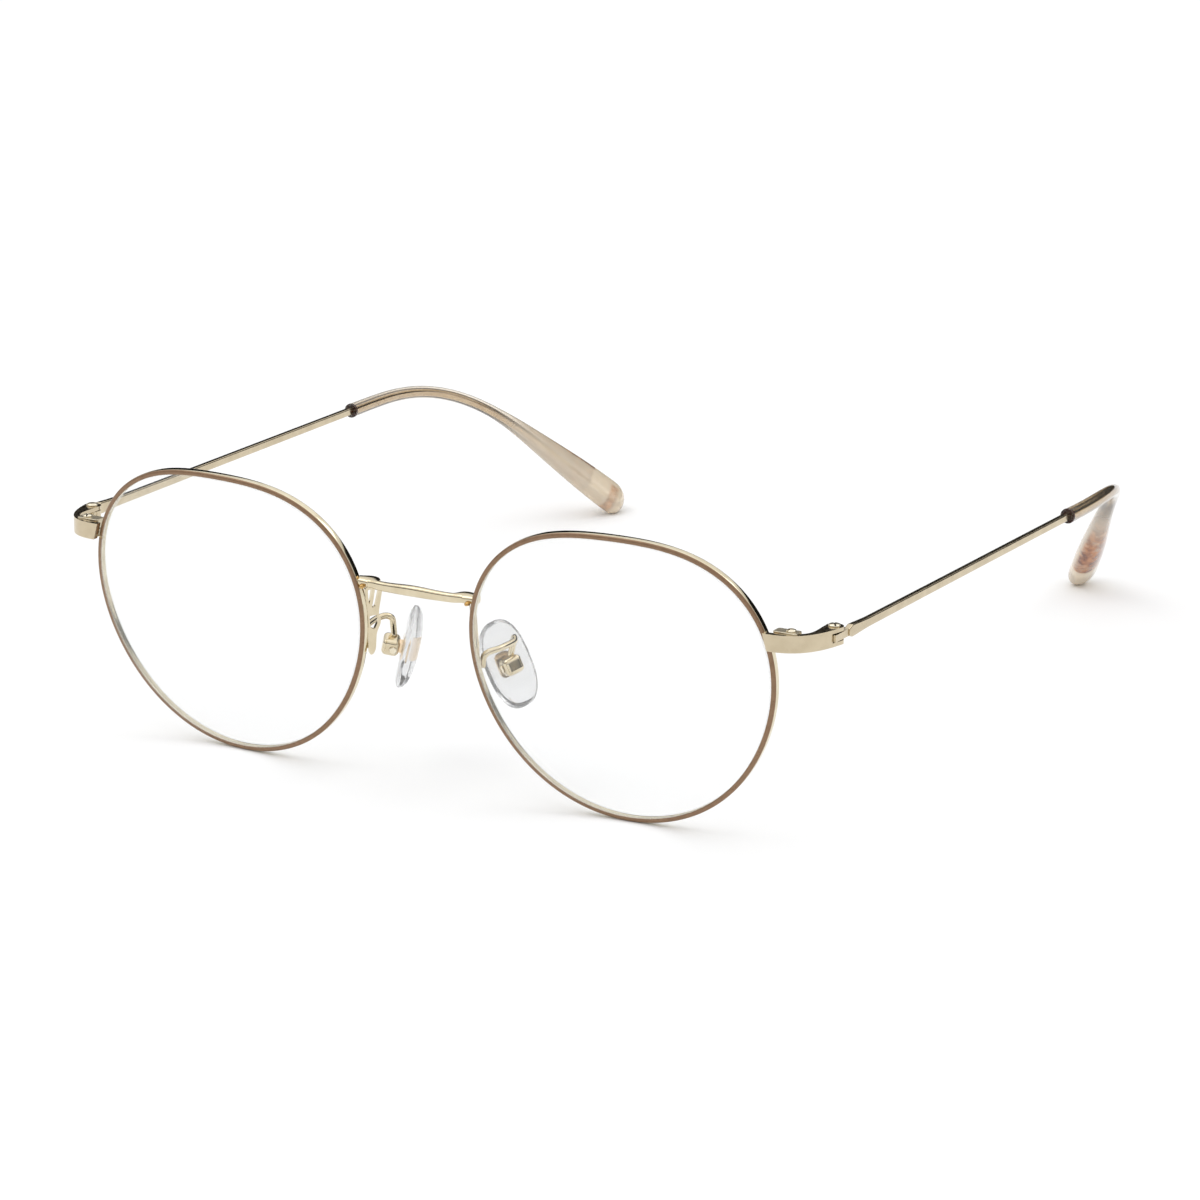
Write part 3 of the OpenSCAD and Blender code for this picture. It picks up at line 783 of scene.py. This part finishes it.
def tip_path(length, steps):
    """Centre line of the tip: level at first, then bending down and in together."""
    s = (np.arange(steps) + 0.5) * length / steps
    down = np.radians(TIP_DROP * blend((s - BEND_START[0]) / BEND_LENGTH))
    inward = np.radians(TIP_IN * blend((s - BEND_START[1]) / BEND_LENGTH) - TEMPLE_SPLAY)
    along = np.stack([-np.sin(inward) * np.cos(down), np.cos(inward) * np.cos(down), -np.sin(down)], -1)
    splay = math.radians(TEMPLE_SPLAY)
    start = np.array([BAR_IN + BAR_T / 2 + BAR_L * math.sin(splay), BAR_L * math.cos(splay), 0])
    return start + np.concatenate([[[0, 0, 0]], np.cumsum(along, axis=0) * length / steps])


def tip_section(s):
    """A round rod that thins a little, flares into a paddle and turns on the way to its blunt end."""
    share = s / TIP_L
    rod = TIP_R - TIP_THIN * blend(share / 0.4)
    end = math.sqrt(max(1 - max((s - TIP_L + TIP_END_L) / TIP_END_L, 0) ** TIP_END_POWER, 0.0004))
    a = end * (rod + (PADDLE[0] - rod) * blend((share - 0.46) / 0.42))
    b = end * (rod + (PADDLE[1] - rod) * blend((share - 0.5) / 0.46))
    turned = math.radians(PADDLE_TURN * blend((share - 0.3) / 0.5))
    c, d = math.cos(turned), math.sin(turned)
    return oval(a, b, 48) @ np.array([[c, -d], [d, c]])


def ring_rows(path, sections, first):
    points, _, _ = sweep(path, sections, first)
    return points.reshape(len(path), -1, 3)


def span(s, first, last, soft_in, soft_out):
    """1 between two distances along the tip, fading in after the first and out after the last."""
    return blend((s - first) / soft_in) * (1 - blend((s - last) / soft_out))


def mark_tip(piece, side):
    """Marks on the tip's skin: where it is dense, where it is mottled, and a streak near its end."""
    path = to_row(tip_path(TIP_L, 400), in_hinge, side)
    skin_points = np.empty(len(piece.data.vertices) * 3)
    piece.data.vertices.foreach_get("co", skin_points)
    skin_points = skin_points.reshape(-1, 3)
    nearest = np.linalg.norm(skin_points[:, None] - path[None], axis=2).argmin(axis=1)
    s = nearest * TIP_L / (len(path) - 1)
    away = skin_points - path[nearest]
    away = away / np.maximum(np.linalg.norm(away, axis=1, keepdims=True), 1e-9)
    outward = away @ MOTTLE_SIDES[side]
    slanted = s + MOTTLE_SLANT * away[:, 2]
    # The mottle fades in along s, but ends at a slant.
    mottle = blend((s - MOTTLE_FROM) / MOTTLE_OVER) * (1 - blend((slanted - MOTTLE_TO) / MOTTLE_EDGE))
    mottle *= blend(outward / MOTTLE_FADE + 0.5)
    streak = STREAK * span(s, STREAK_FROM, STREAK_TO, STREAK_SOFT, STREAK_SOFT)
    mottle += streak * blend(-outward / MOTTLE_FADE)
    dense = blend((s - DENSE_FROM) / DENSE_OVER)
    for label, values in (("dense", dense), ("mottle", mottle)):
        mark = piece.data.attributes.new(label, "FLOAT", "POINT")
        mark.data.foreach_set("value", values.tolist())


def temple_tip(side, name):
    steps = 168
    sections = [tip_section(TIP_L * i / steps) for i in range(steps + 1)]
    outer = ring_rows(tip_path(TIP_L, steps), sections, [1, 0, 0])
    hole_r = CORE_R - 0.01
    hole_path = tip_path(CORE_L - 0.1, 90)
    hole = ring_rows(hole_path, [oval(hole_r, hole_r, 48)] * len(hole_path), [1, 0, 0])
    shell = skin(np.concatenate([outer[::-1], hole]))
    piece = build(name + "_acetate_tip", [shell], in_hinge, side, [ACETATE])
    soften(piece, 50)
    mark_tip(piece, side)
    dress(piece, name + "_temple_tip", name + "_temple")
    collar = tip_path(COLLAR_L, len(COLLAR_GROW) - 1)
    rings = ring_rows(collar, [oval(TIP_R + grow, TIP_R + grow, 40) for grow in COLLAR_GROW], [1, 0, 0])
    bore_r = CORE_R + 0.02
    bore = ring_rows(collar, [oval(bore_r, bore_r, 40)] * len(collar), [1, 0, 0])
    ring = skin(np.concatenate([rings[::-1], bore, rings[-1:]]))
    piece = build(name + "_tip_collar", [ring], in_hinge, side, [COLLAR])
    soften(piece, 50)
    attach(piece, name + "_temple")


# ---- nose pads ----------------------------------------------------------------------------

PAD_L = 14.4
PAD_W = 7.8
PAD_T = 2.8
PAD_FACE = -1.3
PAD_SHIFT = [0.7, -0.3]
PAD_WIDEST = 0.9
BOX_SIZE = [2.7, 3.1, 2.8]
BOX_FRONT = -0.95
BOX_WALL = 0.35
PAD_SCREW_R = 0.42
PAD_HEAD = [0.62, 0.25]
LUG_T = 1.2
LUG_H = 1.7
LUG_R = 0.82
LUG_PLAY = 0.08
PLATE_X = PAD_FACE - 1.08
PLATE_T = 0.58
PLATE_W = 2.6
PLATE_L = 4
ARM_R = 0.5
ARM_POINTS = [
    [10.2, 3.55, -3.2], [10.4, 3.65, -1.7], [11.0, 4.2, -0.85], [11.9, 6, -0.8], [12.3, 8.2, -0.9],
    [12.3, 9.8, -1], [11.6, 11, -1], [11, 11.7, -1.6], [10.8, 11.6, -2.7], [10.5, 11.2, -4.4],
]
BRACKET_T = 0.7
BRACKET_AT = [9.9, 2.9, 0]
BRACKET_TURN = 130
BRACKET_PLAN = [
    [0.1, 7.2], [2.6, 7.4], [3.0, 6.9], [2.6, 5.2], [2.1, 3.2], [2.0, 2.2],
    [2.3, 1.6], [2.2, 0.9], [1.4, -0.6], [1.1, -3.2], [0.6, -4], [0, -4],
]
BRACKET_HOLES = [
    [[0.55, 6.7], [1.25, 6.75], [0.9, 5.2], [0.6, 4.3], [0.55, 5]],
    [[1.75, 6.75], [2.35, 6.75], [2.1, 5.6], [1.5, 3.7], [1.0, 3.7], [1.35, 5]],
    [[0.5, 2.4], [1.6, 2.4], [1.9, 1.5], [1.1, 0.0], [0.5, 0.5]],
]


def rounded(outline_points, radius, steps=4):
    """A polygon with each corner replaced by a short curve."""
    p = np.asarray(outline_points, float)
    points = []
    for before, at, after in zip(np.roll(p, 1, 0), p, np.roll(p, -1, 0)):
        a = at + unit(before - at) * min(radius, 0.45 * np.linalg.norm(before - at))
        b = at + unit(after - at) * min(radius, 0.45 * np.linalg.norm(after - at))
        for k in range(steps + 1):
            t = k / steps
            points.append((1 - t) ** 2 * a + 2 * t * (1 - t) * at + t * t * b)
    return np.array(points)


def pad_bracket(side, name):
    stand = turn("Z", BRACKET_TURN) @ turn("X", 90)

    def plate(plan, radius, half):
        return moved(slab(rounded(plan, radius), -half, half), stand, BRACKET_AT)

    whole = plate(BRACKET_PLAN, 0.7, BRACKET_T / 2)
    piece = build(name + "_bracket_plate", [whole], in_front, side, [BRIGHT])
    combine(piece, [build("tool", [plate(plan, 0.25, 2)], in_front, side) for plan in BRACKET_HOLES])
    ease(piece, 0.1, 3)
    dress(piece, name + "_pad_bracket", "front")


def pad_arm(side, name):
    path = spline(ARM_POINTS, 10)
    ends = np.ones(len(path))
    ends[0] = ends[-1] = 0.7
    ends[1] = ends[-2] = 0.96
    wire = sweep(path, [oval(ARM_R * e, ARM_R * e, 20) for e in ends], [1, 0, 0])
    piece = build(name + "_arm_wire", [wire], in_front, side, [BRIGHT])
    soften(piece, 50)
    dress(piece, name + "_pad_arm", "front")


def pad_box(side, name):
    size = np.array(BOX_SIZE)
    corner = np.array([BOX_FRONT, -size[1] / 2, -size[2] / 2])
    body = brick(corner, corner + size)
    piece = build(name + "_box_shell", [body], in_pad, side, [BRIGHT])
    ease(piece, 0.75, 6)
    inner = [LUG_T / 2 + LUG_PLAY, size[2] / 2 - BOX_WALL + 0.05]
    pocket = brick([-CUTTER, -inner[0], -inner[1]], [BOX_FRONT + size[0] - BOX_WALL, inner[0], inner[1]])
    bore = moved(pin(PAD_SCREW_R + 0.01, -CUTTER, CUTTER), turn("X", 90))
    combine(piece, [build("tool", [tool], in_pad, side) for tool in (pocket, bore)])
    ease(piece, 0.05, 2, 45)
    dress(piece, name + "_pad_box", "front")


def pad_insert(side, name):
    """Metal plate moulded into the pad, with a lug for the pad screw."""
    w, h = PLATE_W / 2, PLATE_L / 2
    plan = rounded([[-w, -h], [w, -h], [w, h], [-w, h]], 0.9, 6)
    faced = np.array([[0, 0, 1], [1, 0, 0], [0, 1, 0]])
    plate = moved(slab(plan, 0, PLATE_T), faced, [PLATE_X, 0, 0])
    lug = brick([PLATE_X, -LUG_T / 2, -LUG_H / 2], [0, LUG_T / 2, LUG_H / 2])
    knuckle = moved(pin(LUG_R, -LUG_T / 2, LUG_T / 2), turn("X", 90))
    bore = moved(pin(PAD_SCREW_R + 0.05, -CUTTER, CUTTER), turn("X", 90))
    piece = build(name + "_insert_plate", [plate], in_pad, side, [INSERT])
    combine(piece, [build("tool", [tool], in_pad, side, [INSERT]) for tool in (lug, knuckle)], "UNION")
    combine(piece, [build("tool", [bore], in_pad, side)])
    ease(piece, 0.06, 2, 40)
    dress(piece, name + "_pad_insert", name + "_pad")


def nose_pad(side, name):
    """A stack of ovals, widest near its back, flat behind and domed towards the nose."""
    rows = []
    for k in range(14, 0, -1):
        a = math.radians(88 * k / 14)
        rows.append([math.cos(a) ** 0.5, PAD_WIDEST * (1 - math.sin(a))])
    for k in range(15):
        a = math.radians(88 * k / 14)
        rows.append([math.cos(a) ** 0.7, PAD_WIDEST + (PAD_T - PAD_WIDEST) * math.sin(a)])
    rings = []
    for share, depth in rows:
        loop = oval(share * PAD_W / 2, share * PAD_L / 2, 72, 2.5)
        rings.append(np.stack([
            np.full(len(loop), PAD_FACE - depth), PAD_SHIFT[0] + loop[:, 0], PAD_SHIFT[1] + loop[:, 1],
        ], -1))
    piece = build(name + "_silicone_pad", [skin(rings)], in_pad, side, [SILICONE])
    soften(piece, 60)
    dress(piece, name + "_nose_pad", name + "_pad")


def pad_screw(side, name):
    screw(name + "_pad_screw_turned", name + "_pad_screw", "front", in_pad, side, [0, -BOX_SIZE[1] / 2, 0],
          PAD_HEAD, PAD_SCREW_R, BOX_SIZE[1], 0, turn("X", 90))


# ---- camera, light and floor ----------------------------------------------------------------

CAMERA_AZIMUTH = 31.21
CAMERA_ELEVATION = 22.49
CAMERA_ROLL = -3.75
CAMERA_DISTANCE = 751.6
CAMERA_TARGET = np.array([34.0, 0, 12.95])
CAMERA_LENS = 152.19


def camera():
    az, el, roll = (math.radians(a) for a in (CAMERA_AZIMUTH, CAMERA_ELEVATION, CAMERA_ROLL))
    back = np.array([math.sin(az) * math.cos(el), -math.cos(az) * math.cos(el), math.sin(el)])
    right = unit(np.cross([0, 0, 1], back))
    up = np.cross(back, right)
    x = math.cos(roll) * right + math.sin(roll) * up
    y = math.cos(roll) * up - math.sin(roll) * right
    data = bpy.data.cameras.new("camera")
    data.lens = CAMERA_LENS
    data.sensor_width = 36
    data.clip_start = 0.01
    view = bpy.data.objects.new("camera", data)
    place = Matrix.Identity(4)
    for column, axis in enumerate((x, y, back)):
        for row_index, value in enumerate(TILT @ axis):
            place[row_index][column] = value
    for row_index, value in enumerate(to_row([CAMERA_TARGET + CAMERA_DISTANCE * back], in_front, 1)[0]):
        place[row_index][3] = value
    view.matrix_world = place
    bpy.context.scene.collection.objects.link(view)
    bpy.context.scene.camera = view


def floor():
    n = Nodes("floor_white")
    n.set(Roughness=0.85, Specular_IOR_Level=0.1)
    n.link(n.mix(n.remap(n.noise(60, 2), 0.3, 0.7, 0, 1), (0.955, 0.957, 0.96), (0.95, 0.952, 0.955)),
           n.shader.inputs["Base Color"])
    reach = 3.0
    level = -2e-5
    mesh = bpy.data.meshes.new("floor")
    corners = [(-reach, -reach, level), (reach, -reach, level), (reach, reach, level), (-reach, reach, level)]
    mesh.from_pydata(corners, [], [(0, 1, 2, 3)])
    mesh.materials.append(n.material)
    plane = bpy.data.objects.new("floor", mesh)
    bpy.context.scene.collection.objects.link(plane)


CARD_TOP = np.sin(np.radians([25, 28]))
CARD_SIDE = [0.45, 0.62]
LINE_TOP = [0.16, 0.22]
LINE_END = [0.2, 0.35]


def surroundings():
    """A bright room, white where the camera sees it. A dark card stands low behind the object,
    and a dark line runs low round the rest of the room."""
    world = bpy.data.worlds.new("room")
    bpy.context.scene.world = world
    world.use_nodes = True
    tree = world.node_tree
    tree.nodes.clear()
    link = tree.links.new

    def node(kind, **values):
        made = tree.nodes.new(kind)
        for key, value in values.items():
            setattr(made, key, value)
        return made

    def ramp(source, low, high, to_low, to_high):
        made = node("ShaderNodeMapRange", interpolation_type="SMOOTHSTEP")
        for key, value in zip(("From Min", "From Max", "To Min", "To Max"), (low, high, to_low, to_high)):
            made.inputs[key].default_value = value
        link(source, made.inputs["Value"])
        return made.outputs["Result"]

    def calc(operation, a, b):
        made = node("ShaderNodeMath", operation=operation)
        for socket, value in zip(made.inputs, (a, b)):
            if hasattr(value, "links"):
                link(value, socket)
            else:
                socket.default_value = value
        return made.outputs[0]

    parts = node("ShaderNodeSeparateXYZ")
    link(node("ShaderNodeTexCoord").outputs["Generated"], parts.inputs[0])
    above = ramp(parts.outputs["Z"], *CARD_TOP, 0, 1)
    beside = ramp(parts.outputs["Y"], *CARD_SIDE, 1, 0)
    open_air = calc("MAXIMUM", above, beside)
    over_line = ramp(parts.outputs["Z"], *LINE_TOP, 0, 1)
    behind = ramp(parts.outputs["Y"], *LINE_END, 0, 1)
    open_air = calc("MULTIPLY", open_air, calc("MAXIMUM", over_line, behind))
    sky = ramp(parts.outputs["Z"], 0.3, 1.0, 0.98, 1.6)
    light = calc("ADD", calc("MULTIPLY", open_air, sky), 0.01)
    room = node("ShaderNodeBackground")
    link(light, room.inputs["Strength"])
    white = node("ShaderNodeBackground")
    white.inputs["Color"].default_value = (1, 1, 1, 1)
    mix = node("ShaderNodeMixShader")
    link(node("ShaderNodeLightPath").outputs["Is Camera Ray"], mix.inputs["Fac"])
    link(room.outputs[0], mix.inputs[1])
    link(white.outputs[0], mix.inputs[2])
    link(mix.outputs[0], node("ShaderNodeOutputWorld").inputs["Surface"])


def softbox(name, place, target, size, power):
    data = bpy.data.lights.new(name, "AREA")
    data.shape = "RECTANGLE"
    data.size, data.size_y = size
    data.energy = power
    lamp = bpy.data.objects.new(name, data)
    lamp.location = place
    lamp.rotation_euler = (Vector(target) - Vector(place)).to_track_quat("-Z", "Y").to_euler()
    bpy.context.scene.collection.objects.link(lamp)


# ---- the object -----------------------------------------------------------------------------

camera()
floor()
surroundings()
softbox("key", (-0.5, -0.3, 0.9), (0, 0, 0), (0.6, 0.6), 1.3)
softbox("rim_light", (0.5, 0.5, 0.8), (0, 0, 0.02), (0.4, 0.3), 0.5)

bridge()
for side, name in ((1, "left"), (-1, "right")):
    rim(side, name)
    lens(side, name)
    bridge_braze(side, name)
    end_piece(side, name)
    closing_joint(side, name)
    screw(name + "_hinge_screw_turned", name + "_hinge_screw", "front", in_hinge, side,
          [0, 0, STRAP_H / 2], HINGE_HEAD, SCREW_R, STRAP_H - 0.1, HINGE_SLOT_TURN)
    temple(side, name)
    temple_tip(side, name)
    pad_bracket(side, name)
    pad_arm(side, name)
    pad_box(side, name)
    pad_screw(side, name)
    pad_insert(side, name)
    nose_pad(side, name)

bpy.context.scene.view_settings.view_transform = "Standard"
bpy.context.view_layer.update()
